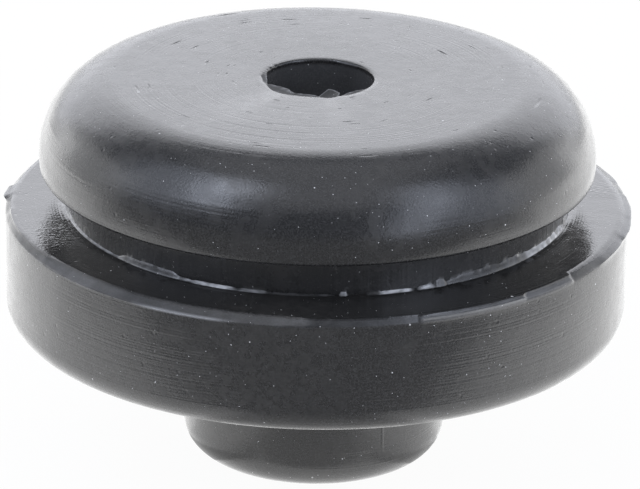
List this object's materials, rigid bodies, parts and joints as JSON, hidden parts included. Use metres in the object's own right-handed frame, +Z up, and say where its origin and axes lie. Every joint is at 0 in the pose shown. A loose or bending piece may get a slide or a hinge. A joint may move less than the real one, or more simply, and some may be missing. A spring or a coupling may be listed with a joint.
{
  "type": "rubber mount grommet",
  "caption": "Black rubber mount grommet with a rolled button head, a groove that grips a sheet, a wide flange and a smaller boss around a central bore.",
  "frame": {"origin": "centre of the boss's end face, on the bore's axis", "axes": "+Z up the bore from the boss to the button head; +X towards the side where the most moulding flash is left"},
  "size_m": [0.0508, 0.0501, 0.0316],
  "materials": {
    "rubber": "satin moulded black rubber with turned mould marks, dust and torn flash"
  },
  "bodies": {
    "root": {"grommet": "rubber"}
  },
  "joints": []
}
